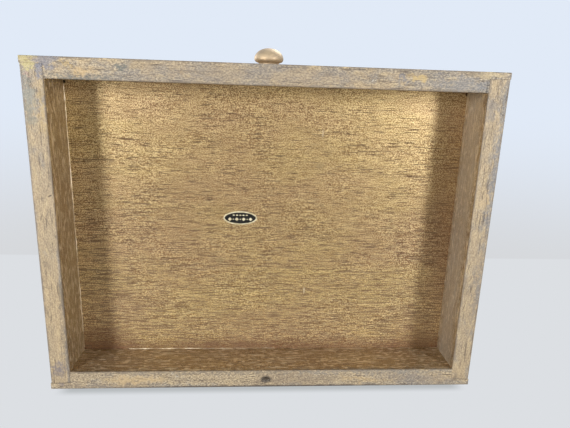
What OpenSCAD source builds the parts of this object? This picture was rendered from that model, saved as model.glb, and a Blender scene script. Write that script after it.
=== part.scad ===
// Wooden puzzle box: a lipped-corner case on a recessed base, a disguised drawer that a knob locks,
// and a hinged lid that a sliding key in the right side board locks.
// The box stands on its rim at z = 0, its front and knob face -Y, and it rests closed and unlocked.

/* [Case] */
// Width over the two side boards
box_w = 230.4; // [200:0.2:260]
// Depth from the front face to the back face
box_d = 171.5; // [150:0.5:200]
// Thickness of the wall boards
board_t = 10; // [9.4:0.1:12]
// Thickness of the lip that covers the side boards' end grain
lip_t = 3.3; // [3:0.1:4.5]
// Distance that the front and back boards stand past the side boards
overhang = 0.4; // [0.1:0.1:1]
// Depth of the recess under the bottom panel
recess_h = 24; // [20:1:30]
// Height of the compartment's walls above its floor
tray_h = 20; // [20:1:40]

/* [Panels] */
// Thickness of the bottom panel, the divider and the lid panel
panel_t = 3.2; // [2.8:0.1:4]
// Length of a panel's edge that sits in its groove
tongue = 3.8; // [3:0.1:4.2]
// Thickness of the felt linings
felt_t = 1; // [0.6:0.1:1.2]

/* [Drawer] */
// Height of the drawer front
drawer_h = 25; // [23:0.5:34]
// Thickness of the drawer's sides and back
drawer_t = 6; // [5:0.5:8]
// Thickness of the drawer's bottom
drawer_floor_t = 2.4; // [2:0.1:3]
// Distance that the drawer pulls out
drawer_travel = 105; // [60:1:115]
// Width of the block that stops the drawer
stop_w = 16; // [12:1:30]
// Thickness of the block that stops the drawer, front to back
stop_d = 8; // [6:0.5:12]
// Height of the block that stops the drawer
stop_h = 4; // [3:0.5:5]

/* [Knob and lock] */
// Largest radius of the knob
knob_r = 7.95; // [7:0.05:10]
// Distance that the knob stands out from the front face
knob_reach = 10; // [8:0.5:14]
// Radius of the knob's neck
neck_r = 5.6; // [4.5:0.1:6.5]
// Distance that the knob sits to the left of the middle
knob_left = 1.1; // [0:0.1:4]
// Radius of the knob's spindle
spindle_r = 2; // [1.6:0.1:2.4]
// Thickness of the lock cam
cam_t = 1.8; // [1.5:0.1:2.2]
// Width of the lock cam's arm
cam_w = 6; // [5:0.2:7]
// Height that the locked cam reaches behind the upper front board
cam_bite = 2.4; // [1.5:0.1:2.6]
// Width of the nut over its flats
nut_w = 7; // [6.4:0.1:8]
// Height of the nut
nut_h = 3; // [2.4:0.1:4]

/* [Lid] */
// Height of the lid's rails
lid_h = 14; // [13:0.5:20]
// Height of the rim round the lid's panel
lid_rim = 1.5; // [0.8:0.1:2]
// Length of each hinge
hinge_len = 30; // [24:1:40]
// Outer radius of the hinge barrels
barrel_r = 2; // [1.8:0.1:2.2]
// Radius of the hinge pins
pin_r = 0.8; // [0.6:0.05:0.9]
// Thickness of the hinge leaves
leaf_t = 0.9; // [0.8:0.1:1.2]
// Distance from the case's inner corner to each hinge
hinge_inset = 25; // [15:1:35]

/* [Sliding key] */
// Height of the key's face in the side board
key_face_h = 10; // [8:0.5:11]
// Thickness of the key's face
key_face_t = 3; // [2.4:0.1:3.2]
// Thickness of the flange behind the key's face
key_flange_t = 2.2; // [1.8:0.1:2.4]
// Height that the flange stands past the face at each edge
key_flange_h = 1.5; // [1:0.1:1.8]
// Distance that the key slides
key_travel = 9; // [7:0.5:10]
// Radius of the key's peg
peg_r = 2.2; // [1.8:0.1:2.4]
// Thickness of the lid's catch plate
catch_t = 2; // [1.6:0.1:2.4]

/* [Fasteners and label] */
// Radius of a brad's shank
brad_r = 0.6; // [0.5:0.05:0.7]
// Length of the brads
brad_len = 20; // [16:1:24]
// Radius of a screw's shank
screw_r = 0.9; // [0.7:0.05:1]
// Length of the screws
screw_len = 7; // [6:0.5:7.5]
// Length of the oval label under the box
label_w = 18.6; // [16:0.2:26]
// Width of the oval label
label_d = 7.7; // [6:0.1:10]

/* [Clearances] */
// Gap between pieces that move past each other
gap = 0.3; // [0.2:0.05:0.4]
// Radial clearance of a shaft that turns in its hole
running = 0.05; // [0.02:0.01:0.1]
// Room at the bottom of a groove, past the panel's edge
groove_room = 0.2; // [0.1:0.05:0.4]

/* [Hidden] */
$fn = 48;
cut = 1;

// Case planes. The origin is under the centre of the footprint, with the knob counted in.
front_y = (knob_reach - box_d) / 2;
back_y = front_y + box_d;
side_x = box_w / 2;
inner_x = side_x - board_t;
front_in = front_y + board_t;
back_in = back_y - board_t;
side_y0 = front_y + lip_t;
side_y1 = back_y - lip_t;
end_x = side_x + overhang;
groove_d = tongue + groove_room;

// Heights, from the rim up
panel_top = recess_h + panel_t;
drawer_z0 = panel_top + gap;
drawer_z1 = drawer_z0 + drawer_h;
divider_z = drawer_z1 + gap;
divider_top = divider_z + panel_t;
case_h = divider_top + tray_h;
lid_z0 = case_h + gap;
lid_z1 = lid_z0 + lid_h;
lid_panel_z = lid_z1 - lid_rim - panel_t;
knob_x = -knob_left;
knob_z = (drawer_z0 + drawer_z1) / 2;

// Drawer
drawer_side_gap = 0.5;
drawer_top_gap = 0.5;
drawer_back_gap = 1.5;
drawer_x = inner_x - drawer_side_gap;
drawer_in_x = drawer_x - drawer_t;
drawer_lip_y = side_y0 - gap;
drawer_back_y = back_in - drawer_back_gap;
drawer_back_in = drawer_back_y - drawer_t;
drawer_top = drawer_z1 - drawer_top_gap;
drawer_floor_rise = 2;
drawer_floor_z = drawer_z0 + drawer_floor_rise;
drawer_floor_top = drawer_floor_z + drawer_floor_t;
drawer_tongue = 2.4;
drawer_groove = drawer_tongue + groove_room;
felt_margin = 0.5;
stop_y1 = drawer_back_in - drawer_travel - gap;
stop_x = -40;
stop_skin = 1;

// Knob and lock
neck_h = 2.2;
widest_h = 3.4;
dome_steps = 14;
spindle_grip = 5;
spindle_tail = 1.2;
cam_y0 = front_in + gap;
cam_y1 = cam_y0 + cam_t;
cam_reach = divider_z + cam_bite - knob_z;
cam_hub_r = 4.5;
cam_slot_x = 11;
cam_slot_room = 0.8;
stop_pin_r = 1;
stop_pin_gap = 0.2;
stop_pin_grip = 4;
stop_pin_x = 11;
stop_pin_up = 9;

// Lid and hinges
axis_inset = 0.6;
knuckle_gap = 0.35;
vee_room = 0.3;
axis_y = back_y - barrel_r - axis_inset;
axis_z = case_h + gap / 2;
barrel_room = barrel_r + knuckle_gap;
vee_in = back_y - axis_y + vee_room;
vee_angle = 50;
hinge_x = inner_x - hinge_inset - hinge_len / 2;
knuckle_len = hinge_len / 3;
leaf_edge = 1.2;
leaf_y0 = back_in + leaf_edge;
leaf_hole_inset = 5;
leaf_hole_x = hinge_len / 2 - leaf_hole_inset;
leaf_hole_y = (leaf_y0 + axis_y - barrel_room) / 2;
head_lip = 0.7;
head_r = screw_r + head_lip;
head_h = 0.7;
screw_fit = 0.04;

// Key and catch
key_drop = 10.5;
key_z = case_h - key_drop;
key_sink = 0.2;
key_y0 = side_y0 + key_travel + 2 * gap;
key_y1 = side_y1 - gap;
key_back_x = side_x - key_sink - key_face_t - key_flange_t;
thumb_r = 9;
thumb_depth = 1.4;
thumb_y = 16;
catch_y = -10;
catch_relief = 0.5;
catch_front = 7;
catch_jaw = 4.5;
catch_lip = 3.4;
catch_room = 0.6;
catch_top = lid_panel_z - felt_t - catch_room;
catch_screw_rise = 4.4;
catch_screw_z = lid_z0 + catch_screw_rise;
catch_screw_front = 4;
catch_screw_back = 2;
catch_screw_y = [catch_y - catch_screw_front, catch_y + catch_screw_back];
peg_grip = 2;
peg_past = 1.5;
peg_end_x = inner_x - catch_t - peg_past;

// Brads
brad_head_lip = 0.5;
brad_head_r = brad_r + brad_head_lip;
brad_head_h = 0.6;
brad_sink = 0.3;
brad_fit = 0.04;
brad_edge = 7;
brad_inset = 2.2;
brad_x = inner_x + brad_inset;
rail_brads = [brad_edge, recess_h - brad_edge];
upper_brad_rise = 6;
upper_brads = [divider_top + upper_brad_rise, case_h - brad_edge];
case_front_brads = concat(rail_brads, upper_brads);
back_brads = concat(rail_brads, [knob_z], upper_brads);
lid_brad_rise = 4.5;
lid_brad_z = lid_z0 + lid_brad_rise;
drawer_brad_len = 13;
drawer_brad_low = 8.5;
drawer_brad_high = 4;
drawer_brad_z = [drawer_z0 + drawer_brad_low, drawer_top - drawer_brad_high];
drawer_brad_y = [(drawer_lip_y + front_in) / 2, (drawer_back_in + drawer_back_y) / 2];

// Label, placed from the left side and from the back of the box
label_t = 0.25;
label_from_left = 99.7;
label_from_back = 90.4;
label_steps = 48;

gold_wood = [0.69, 0.57, 0.37];
pale_wood = [0.76, 0.66, 0.5];
brass = [0.75, 0.6, 0.3];
felt = [0.2, 0.27, 0.22];
steel = [0.6, 0.6, 0.6];

// A block between two opposite corners
module block(lo, hi) {
    translate(lo)
        cube(hi - lo);
}

// Turns a shape drawn for the front into its twin at the back
module at_back() {
    translate([0, front_y + back_y, 0])
        mirror([0, 1, 0])
            children();
}

// Draws a shape on the left and its mirror twin on the right
module both_sides() {
    children();
    mirror([1, 0, 0])
        children();
}

// A front board: its outer lip runs over the side boards' ends, its core fits between them
module lipped_board(z0, z1) {
    block([-end_x, front_y, z0], [end_x, side_y0, z1]);
    block([-inner_x, side_y0, z0], [inner_x, front_in, z1]);
}

// The room that a brad takes, pointing along +Z from its head at z = 0, and open above
module brad_hole(len) {
    translate([0, 0, brad_sink])
        cylinder(r = brad_r + brad_fit, h = len);
    translate([0, 0, -cut])
        cylinder(r = brad_head_r + brad_fit, h = cut + brad_sink + brad_head_h);
}

module brad(len) {
    translate([0, 0, brad_sink]) {
        cylinder(r = brad_r, h = len - brad_sink);
        cylinder(r = brad_head_r, h = brad_head_h);
    }
}

// Places a brad, or its hole, at the right end of a front board at each of the given heights
module right_brads(heights) {
    for (z = heights)
        translate([brad_x, front_y, z])
            rotate([-90, 0, 0])
                children();
}

module front_brads(heights) {
    both_sides()
        right_brads(heights)
            children();
}

// The brads' holes in the ends of a right side board or rail
module side_brad_holes(front_heights, back_heights) {
    right_brads(front_heights)
        brad_hole(brad_len);
    at_back()
        right_brads(back_heights)
            brad_hole(brad_len);
}

// A countersunk screw that points along +Z, with its head's face at z = 0
module screw(r, len, grow = 0) {
    translate([0, 0, -grow * cut])
        cylinder(r = r + grow * screw_fit, h = len + grow * cut);
    cylinder(r1 = head_r + grow * screw_fit, r2 = r + grow * screw_fit, h = head_h);
}

// Panel edge's groove in a side board
module side_groove(z) {
    block([inner_x - cut, side_y0 - cut, z], [inner_x + groove_d, side_y1 + cut, z + panel_t]);
}

// Panel edge's groove in a front or back board, between the side boards
module front_groove(z, top) {
    block([-inner_x - cut, front_in - groove_d, z], [inner_x + cut, front_in + cut, top]);
}

module panel(z) {
    block([-inner_x - tongue, front_in - tongue, z], [inner_x + tongue, back_in + tongue, z + panel_t]);
}

module side_blank(z0, z1) {
    block([inner_x, side_y0, z0], [side_x, side_y1, z1]);
}

// The slope that leaves the lid room to swing past the top of the back board
module hinge_slope() {
    translate([-end_x - cut, back_y - vee_in, 0])
        rotate([-vee_angle, 0, 0])
            cube([2 * (end_x + cut), board_t, board_t]);
}

// Places a shape at each hinge's centre, on the pin's axis
module at_hinges() {
    for (x = [-hinge_x, hinge_x])
        translate([x, axis_y, axis_z])
            children();
}

module barrel(x0, x1, r) {
    translate([x0, 0, 0])
        rotate([0, 90, 0])
            cylinder(r = r, h = x1 - x0);
}

// The holes of one leaf, as seen from the seam. Screws point away from the seam.
module leaf_screws(up, grow) {
    face = up ? gap / 2 : -gap / 2;
    for (x = [-leaf_hole_x, leaf_hole_x])
        translate([x, leaf_hole_y - axis_y, face])
            rotate([up ? 0 : 180, 0, 0])
                screw(screw_r, screw_len, grow);
}

// The flat of a leaf on its board. To cut the room for it, the block goes past the board's face.
module leaf_plate(up, past = 0) {
    z0 = up ? gap / 2 - past : -gap / 2 - leaf_t;
    block([-hinge_len / 2, leaf_y0 - axis_y, z0], [hinge_len / 2, 0, z0 + leaf_t + past]);
}

module hinge_room(up) {
    at_hinges() {
        leaf_plate(up, cut);
        barrel(-hinge_len / 2 - gap, hinge_len / 2 + gap, barrel_room);
        leaf_screws(up, 1);
    }
}

// Case

module left_side_board() {
    color(gold_wood)
        mirror([1, 0, 0])
            difference() {
                side_blank(0, case_h);
                side_groove(recess_h);
                side_groove(divider_z);
                side_brad_holes(case_front_brads, back_brads);
            }
}

// The T-shaped groove runs the board's whole length, and the lips close its ends
module right_side_board() {
    face_h = key_face_h / 2 + gap;
    flange_h = key_face_h / 2 + key_flange_h + gap;
    peg_slot = peg_r + gap;
    color(gold_wood)
        difference() {
            side_blank(0, case_h);
            side_groove(recess_h);
            side_groove(divider_z);
            side_brad_holes(case_front_brads, back_brads);
            block(
                [key_back_x - gap, side_y0 - cut, key_z - face_h],
                [side_x + cut, side_y1 + cut, key_z + face_h]
            );
            block(
                [key_back_x - gap, side_y0 - cut, key_z - flange_h],
                [side_x - key_sink - key_face_t + gap, side_y1 + cut, key_z + flange_h]
            );
            block(
                [inner_x - cut, catch_y - peg_slot, key_z - peg_slot],
                [key_back_x, catch_y + key_travel + peg_slot, key_z + peg_slot]
            );
        }
}

module front_rail() {
    color(gold_wood)
        difference() {
            lipped_board(0, panel_top);
            front_groove(recess_h, panel_top + cut);
            front_brads(rail_brads)
                brad_hole(brad_len);
        }
}

module upper_front_board() {
    color(gold_wood)
        difference() {
            lipped_board(divider_z, case_h);
            front_groove(divider_z - cut, divider_top);
            front_brads(upper_brads)
                brad_hole(brad_len);
        }
}

module back_board() {
    color(gold_wood)
        difference() {
            at_back()
                difference() {
                    lipped_board(0, case_h);
                    front_groove(recess_h, panel_top);
                    front_groove(divider_z, divider_top);
                    front_brads(back_brads)
                        brad_hole(brad_len);
                }
            translate([0, 0, case_h])
                hinge_slope();
            hinge_room(false);
        }
}

module bottom_panel() {
    color(gold_wood)
        panel(recess_h);
}

// The hole behind the upper front board is for the cam's tip
module divider_panel() {
    color(pale_wood)
        difference() {
            panel(divider_z);
            block(
                [knob_x - cam_slot_x, front_in, divider_z - cut],
                [knob_x + cam_slot_x, cam_y1 + cam_slot_room, divider_top + cut]
            );
            translate([stop_x, stop_y1 - stop_d / 2, divider_top])
                mirror([0, 0, 1])
                    screw(screw_r, panel_t + cut, 1);
        }
}

module case_brads() {
    color(steel) {
        front_brads(case_front_brads)
            brad(brad_len);
        at_back()
            front_brads(back_brads)
                brad(brad_len);
    }
}

module compartment_lining() {
    color(felt)
        block(
            [felt_margin - inner_x, front_in + felt_margin, divider_top],
            [inner_x - felt_margin, back_in - felt_margin, divider_top + felt_t]
        );
}

module oval_label() {
    color("black")
        translate([label_from_left - side_x, back_y - label_from_back, recess_h - label_t])
            linear_extrude(height = label_t)
                polygon([
                    for (i = [0 : label_steps - 1])
                        let (a = 360 * i / label_steps)
                            [cos(a) * label_w / 2, sin(a) * label_d / 2]
                ]);
}

module drawer_stop() {
    color(pale_wood)
        difference() {
            block(
                [stop_x - stop_w / 2, stop_y1 - stop_d, divider_z - stop_h],
                [stop_x + stop_w / 2, stop_y1, divider_z]
            );
            translate([stop_x, stop_y1 - stop_d / 2, divider_top])
                mirror([0, 0, 1])
                    cylinder(r = screw_r + screw_fit, h = panel_t + stop_h - stop_skin);
        }
}

module stop_screw() {
    color(steel)
        translate([stop_x, stop_y1 - stop_d / 2, divider_top])
            mirror([0, 0, 1])
                screw(screw_r, panel_t + stop_h - stop_skin - groove_room);
}

module hinge_case_leaves() {
    half = hinge_len / 2;
    middle = knuckle_len / 2;
    color(brass)
        at_hinges()
            difference() {
                union() {
                    leaf_plate(false);
                    barrel(-half, -middle - gap / 2, barrel_r);
                    barrel(middle + gap / 2, half, barrel_r);
                }
                barrel(-middle - gap / 2, middle + gap / 2, barrel_room);
                barrel(-half - cut, half + cut, pin_r);
                leaf_screws(false, 1);
            }
}

module hinge_pins() {
    color(steel)
        at_hinges()
            barrel(-hinge_len / 2, hinge_len / 2, pin_r);
}

module hinge_case_screws() {
    color(steel)
        at_hinges()
            leaf_screws(false, 0);
}

// Drawer

// The lip looks like the other front boards, and the core carries the knob and the sides
module drawer_front() {
    color(gold_wood)
        difference() {
            union() {
                block([-end_x, front_y, drawer_z0], [end_x, drawer_lip_y, drawer_z1]);
                block([-drawer_in_x, drawer_lip_y, drawer_z0], [drawer_in_x, front_in, drawer_z1]);
            }
            block(
                [-drawer_in_x - cut, front_in - drawer_groove, drawer_floor_z],
                [drawer_in_x + cut, front_in + cut, drawer_floor_top]
            );
            translate([knob_x, front_y - cut, knob_z])
                rotate([-90, 0, 0])
                    cylinder(r = spindle_r + running, h = board_t + 2 * cut);
            for (p = stop_pin_places())
                translate([p[0], front_in - stop_pin_grip, p[1]])
                    rotate([-90, 0, 0])
                        cylinder(r = stop_pin_r, h = stop_pin_grip + cut);
            drawer_brad_places()
                brad_hole(drawer_brad_len);
        }
}

// Where the pins stop the cam's arm, lying and upright
function stop_pin_places() =
    let (off = cam_w / 2 + stop_pin_gap + stop_pin_r)
        [[knob_x + stop_pin_x, knob_z - off], [knob_x - off, knob_z + stop_pin_up]];

module drawer_brad_places() {
    both_sides()
        for (y = drawer_brad_y, z = drawer_brad_z)
            translate([drawer_x, y, z])
                rotate([0, -90, 0])
                    children();
}

module drawer_side() {
    difference() {
        block([drawer_in_x, drawer_lip_y, drawer_z0], [drawer_x, drawer_back_y, drawer_top]);
        block(
            [drawer_in_x - cut, front_in - drawer_groove, drawer_floor_z],
            [drawer_in_x + drawer_groove, drawer_back_in + drawer_groove, drawer_floor_top]
        );
        drawer_brad_places()
            brad_hole(drawer_brad_len);
    }
}

module drawer_left_side() {
    color(pale_wood)
        mirror([1, 0, 0])
            drawer_side();
}

module drawer_right_side() {
    color(pale_wood)
        drawer_side();
}

module drawer_back() {
    color(pale_wood)
        difference() {
            block([-drawer_in_x, drawer_back_in, drawer_z0], [drawer_in_x, drawer_back_y, drawer_top]);
            block(
                [-drawer_in_x - cut, drawer_back_in - cut, drawer_floor_z],
                [drawer_in_x + cut, drawer_back_in + drawer_groove, drawer_floor_top]
            );
            drawer_brad_places()
                brad_hole(drawer_brad_len);
        }
}

module drawer_bottom() {
    color(pale_wood)
        block(
            [-drawer_in_x - drawer_tongue, front_in - drawer_tongue, drawer_floor_z],
            [drawer_in_x + drawer_tongue, drawer_back_in + drawer_tongue, drawer_floor_top]
        );
}

module drawer_lining() {
    color(felt)
        block(
            [felt_margin - drawer_in_x, front_in + felt_margin, drawer_floor_top],
            [drawer_in_x - felt_margin, drawer_back_in - felt_margin, drawer_floor_top + felt_t]
        );
}

module drawer_brads() {
    color(steel)
        drawer_brad_places()
            brad(drawer_brad_len);
}

module cam_stop_pins() {
    color(brass)
        for (p = stop_pin_places())
            translate([p[0], front_in - stop_pin_grip, p[1]])
                rotate([-90, 0, 0])
                    cylinder(r = stop_pin_r, h = stop_pin_grip + gap + cam_t);
}

// Knob and lock

module knob() {
    dome_h = knob_reach - widest_h;
    color(brass)
        translate([knob_x, front_y, knob_z])
            rotate([90, 0, 0])
                difference() {
                    rotate_extrude($fn = 72)
                        polygon(concat(
                            [[0, gap], [neck_r, gap], [neck_r, neck_h]],
                            [
                                for (i = [0 : dome_steps])
                                    let (a = 90 * i / dome_steps)
                                        [knob_r * cos(a), widest_h + dome_h * sin(a)]
                            ]
                        ));
                    cylinder(r = spindle_r, h = spindle_grip);
                }
}

module knob_spindle() {
    color(steel)
        translate([knob_x, front_y - spindle_grip, knob_z])
            rotate([-90, 0, 0])
                cylinder(r = spindle_r, h = cam_y1 + nut_h + spindle_tail - front_y + spindle_grip);
}

// The arm lies towards +X when the drawer is free, and stands up when it is locked
module lock_cam() {
    color(brass)
        translate([knob_x, cam_y1, knob_z])
            rotate([90, 0, 0])
                difference() {
                    union() {
                        cylinder(r = cam_hub_r, h = cam_t);
                        translate([0, -cam_w / 2, 0])
                            cube([cam_reach - cam_w / 2, cam_w, cam_t]);
                        translate([cam_reach - cam_w / 2, 0, 0])
                            cylinder(r = cam_w / 2, h = cam_t);
                    }
                    translate([0, 0, -cut])
                        cylinder(r = spindle_r, h = cam_t + 2 * cut);
                }
}

module cam_nut() {
    color(steel)
        translate([knob_x, cam_y1, knob_z])
            rotate([-90, 0, 0])
                difference() {
                    cylinder(r = nut_w / 2 / cos(30), h = nut_h, $fn = 6);
                    translate([0, 0, -cut])
                        cylinder(r = spindle_r, h = nut_h + 2 * cut);
                }
}

// Lid

module lid_cross_rail() {
    difference() {
        lipped_board(lid_z0, lid_z1);
        front_groove(lid_panel_z, lid_panel_z + panel_t);
        front_brads([lid_brad_z])
            brad_hole(brad_len);
    }
}

module lid_front_rail() {
    color(gold_wood)
        lid_cross_rail();
}

module lid_back_rail() {
    color(gold_wood)
        difference() {
            at_back()
                lid_cross_rail();
            translate([0, 0, lid_z0])
                mirror([0, 0, 1])
                    hinge_slope();
            hinge_room(true);
        }
}

module lid_side_rail() {
    difference() {
        side_blank(lid_z0, lid_z1);
        side_groove(lid_panel_z);
        side_brad_holes([lid_brad_z], [lid_brad_z]);
    }
}

module lid_left_rail() {
    color(gold_wood)
        mirror([1, 0, 0])
            lid_side_rail();
}

module lid_right_rail() {
    color(gold_wood)
        difference() {
            lid_side_rail();
            catch_screw_places()
                screw(screw_r, catch_t + screw_len, 1);
        }
}

module lid_panel() {
    color(gold_wood)
        panel(lid_panel_z);
}

module lid_lining() {
    color(felt)
        block(
            [felt_margin - inner_x, front_in + felt_margin, lid_panel_z - felt_t],
            [inner_x - felt_margin, back_in - felt_margin, lid_panel_z]
        );
}

module lid_brads() {
    color(steel) {
        front_brads([lid_brad_z])
            brad(brad_len);
        at_back()
            front_brads([lid_brad_z])
                brad(brad_len);
    }
}

module catch_screw_places() {
    for (y = catch_screw_y)
        translate([inner_x - catch_t, y, catch_screw_z])
            rotate([0, 90, 0])
                children();
}

// The plate hangs from the lid's right rail, and its mouth opens to the back
module lid_catch() {
    slot = peg_r + 2 * gap;
    color(brass)
        difference() {
            block(
                [inner_x - catch_t, catch_y - catch_front, key_z - slot - catch_lip],
                [inner_x, catch_y + catch_jaw, catch_top]
            );
            block(
                [inner_x - catch_relief, catch_y - catch_front - cut, key_z - slot - catch_lip - cut],
                [inner_x + cut, catch_y + catch_jaw + cut, lid_z0]
            );
            block(
                [inner_x - catch_t - cut, catch_y, key_z - slot],
                [inner_x + cut, catch_y + catch_jaw + cut, key_z + slot]
            );
            translate([inner_x - catch_t - cut, catch_y, key_z])
                rotate([0, 90, 0])
                    cylinder(r = slot, h = catch_t + 2 * cut);
            catch_screw_places()
                screw(screw_r, catch_t + cut, 1);
        }
}

module catch_screws() {
    color(steel)
        catch_screw_places()
            screw(screw_r, catch_t + screw_len - cut);
}

module hinge_lid_leaves() {
    half = hinge_len / 2;
    middle = knuckle_len / 2;
    color(brass)
        at_hinges()
            difference() {
                union() {
                    leaf_plate(true);
                    barrel(-middle + gap / 2, middle - gap / 2, barrel_r);
                }
                barrel(-half - cut, -middle + gap / 2, barrel_room);
                barrel(middle - gap / 2, half + cut, barrel_room);
                barrel(-middle, middle, pin_r + running);
                leaf_screws(true, 1);
            }
}

module hinge_lid_screws() {
    color(steel)
        at_hinges()
            leaf_screws(true, 0);
}

// Sliding key

module key_lath() {
    face_x = side_x - key_sink;
    flange_h = key_face_h / 2 + key_flange_h;
    color(pale_wood)
        difference() {
            union() {
                block(
                    [key_back_x, key_y0, key_z - key_face_h / 2],
                    [face_x, key_y1, key_z + key_face_h / 2]
                );
                block(
                    [key_back_x, key_y0, key_z - flange_h],
                    [key_back_x + key_flange_t, key_y1, key_z + flange_h]
                );
            }
            translate([face_x + thumb_r - thumb_depth, key_y0 + thumb_y, key_z - key_face_h / 2 - cut])
                cylinder(r = thumb_r, h = key_face_h + 2 * cut);
            translate([key_back_x - cut, catch_y + key_travel, key_z])
                rotate([0, 90, 0])
                    cylinder(r = peg_r, h = cut + peg_grip);
        }
}

module key_peg() {
    color(brass)
        translate([peg_end_x, catch_y + key_travel, key_z])
            rotate([0, 90, 0])
                cylinder(r = peg_r, h = key_back_x + peg_grip - peg_end_x);
}

left_side_board();
right_side_board();
front_rail();
upper_front_board();
back_board();
bottom_panel();
divider_panel();
case_brads();
compartment_lining();
oval_label();
drawer_stop();
stop_screw();
hinge_case_leaves();
hinge_pins();
hinge_case_screws();
drawer_front();
drawer_left_side();
drawer_right_side();
drawer_back();
drawer_bottom();
drawer_lining();
drawer_brads();
cam_stop_pins();
knob();
knob_spindle();
lock_cam();
cam_nut();
lid_front_rail();
lid_back_rail();
lid_left_rail();
lid_right_rail();
lid_panel();
lid_lining();
lid_brads();
lid_catch();
catch_screws();
hinge_lid_leaves();
hinge_lid_screws();
key_lath();
key_peg();
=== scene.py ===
"""A gold-painted wooden puzzle box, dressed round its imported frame. Metres, +Z up, front and knob at -Y."""
import math

import bmesh
import bpy
from mathutils import Matrix, Vector, noise


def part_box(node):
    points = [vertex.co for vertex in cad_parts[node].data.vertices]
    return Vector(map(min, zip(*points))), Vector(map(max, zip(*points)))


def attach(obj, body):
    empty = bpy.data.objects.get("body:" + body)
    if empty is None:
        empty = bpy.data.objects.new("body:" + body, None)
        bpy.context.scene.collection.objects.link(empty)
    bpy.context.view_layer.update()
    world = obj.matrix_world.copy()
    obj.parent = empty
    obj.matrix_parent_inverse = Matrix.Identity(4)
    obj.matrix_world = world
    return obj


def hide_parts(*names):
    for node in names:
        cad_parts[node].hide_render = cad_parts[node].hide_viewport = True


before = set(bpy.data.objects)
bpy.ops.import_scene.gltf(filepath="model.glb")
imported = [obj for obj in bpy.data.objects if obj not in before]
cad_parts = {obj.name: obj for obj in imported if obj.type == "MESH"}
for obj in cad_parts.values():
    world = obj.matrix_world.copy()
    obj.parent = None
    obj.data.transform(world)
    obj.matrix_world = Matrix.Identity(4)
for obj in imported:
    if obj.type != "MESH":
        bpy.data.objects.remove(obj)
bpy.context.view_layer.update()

# ---- Camera --------------------
# A hand-held camera a quarter of a metre below the base rim, looking up into the recess.
# The front of the box, with the knob, is at the top of its view.
camera_lens = bpy.data.cameras.new("camera")
camera_lens.sensor_width = 36
camera_lens.lens = 30.494
camera = bpy.data.objects.new("camera", camera_lens)
camera.location = (-0.00958, -0.06934, -0.23582)
camera.rotation_euler = [math.radians(turn) for turn in (165.438, 3.690, -1.808)]
bpy.context.scene.collection.objects.link(camera)
bpy.context.scene.camera = camera
bpy.context.scene.view_settings.view_transform = "Standard"


# ---- Studio --------------------
# A pale floor under the rim, pale surroundings that meet it far off, and soft lamps above and below.
# Overhead they turn to a pale wall and table top, for the camera that looks up at the box on its back.
def feed(tree, node, inputs):
    """Sets a node's inputs. Each is a value, or another node's output to link."""
    for socket, value in inputs.items():
        if isinstance(value, bpy.types.NodeSocket):
            tree.links.new(value, node.inputs[socket])
        else:
            node.inputs[socket].default_value = value
    return node


def put(tree, kind, inputs=None, **settings):
    """Adds a shader node of one kind, with its inputs and settings."""
    new = tree.nodes.new(kind)
    for name, value in settings.items():
        setattr(new, name, value)
    return feed(tree, new, inputs or {})


def calc(tree, operation, a, b=0.0):
    """One sum or comparison of two numbers."""
    return put(tree, "ShaderNodeMath", {0: a, 1: b}, operation=operation).outputs[0]


def share(tree, value, factor, base=0.0):
    """value * factor + base"""
    return put(tree, "ShaderNodeMath", {0: value, 1: factor, 2: base}, operation="MULTIPLY_ADD").outputs[0]


def shade(red, green, blue):
    """A colour as it looks on screen, 0 to 255, as the linear colour that a shader takes."""
    parts = [part / 255 for part in (red, green, blue)]
    return [p / 12.92 if p <= 0.04045 else ((p + 0.055) / 1.055) ** 2.4 for p in parts] + [1.0]


def fade(tree, value, start, end):
    """0 where the value is at start, 1 where it is at end, and smooth between."""
    return put(
        tree, "ShaderNodeMapRange", {"Value": value, "From Min": start, "From Max": end},
        interpolation_type="SMOOTHSTEP",
    ).outputs[0]


def tint(tree, factor, first, second):
    """One colour where the factor is 0, and another where it is 1."""
    return put(tree, "ShaderNodeMix", {0: factor, 6: first, 7: second}, data_type="RGBA").outputs[2]


def mixed(tree, factor, first, second):
    """One shader where the factor is 0, and another where it is 1."""
    return put(tree, "ShaderNodeMixShader", {0: factor, 1: first.outputs[0], 2: second.outputs[0]})


def parted(tree, place):
    """The X, Y and Z of a place, each on its own."""
    return put(tree, "ShaderNodeSeparateXYZ", {0: place}).outputs


def length(tree, way):
    """How long the way from the origin to a place is."""
    return put(tree, "ShaderNodeVectorMath", {0: way}, operation="LENGTH").outputs["Value"]


def studio_sheet(name, x_range, y_range, matrix, surface):
    """A flat sheet seen only from its front, by the camera and in reflections.
    surface(tree, place) gives its shader and how solid it is at each place."""
    bpy.ops.object.select_all(action="DESELECT")
    bpy.ops.mesh.primitive_plane_add(size=1)
    sheet = bpy.context.object
    sheet.name = name
    x_mid, y_mid = sum(x_range) / 2, sum(y_range) / 2
    sheet.data.transform(Matrix.Diagonal((x_range[1] - x_range[0], y_range[1] - y_range[0], 1, 1)))
    sheet.data.transform(matrix @ Matrix.Translation((x_mid, y_mid, 0)))
    material = bpy.data.materials.new(name)
    material.use_nodes = True
    tree = material.node_tree
    tree.nodes.clear()
    path = put(tree, "ShaderNodeLightPath").outputs
    front = calc(tree, "SUBTRACT", 1.0, put(tree, "ShaderNodeNewGeometry").outputs["Backfacing"])
    sight = calc(tree, "MAXIMUM", path["Is Camera Ray"], path["Is Glossy Ray"])
    paper, solid = surface(tree, put(tree, "ShaderNodeTexCoord").outputs["Object"])
    seen = calc(tree, "MULTIPLY", calc(tree, "MULTIPLY", front, sight), solid)
    sheet_shader = mixed(tree, seen, put(tree, "ShaderNodeBsdfTransparent"), paper)
    put(tree, "ShaderNodeOutputMaterial", {"Surface": sheet_shader.outputs[0]})
    sheet.data.materials.append(material)


backdrop = shade(224, 233, 244)


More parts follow.
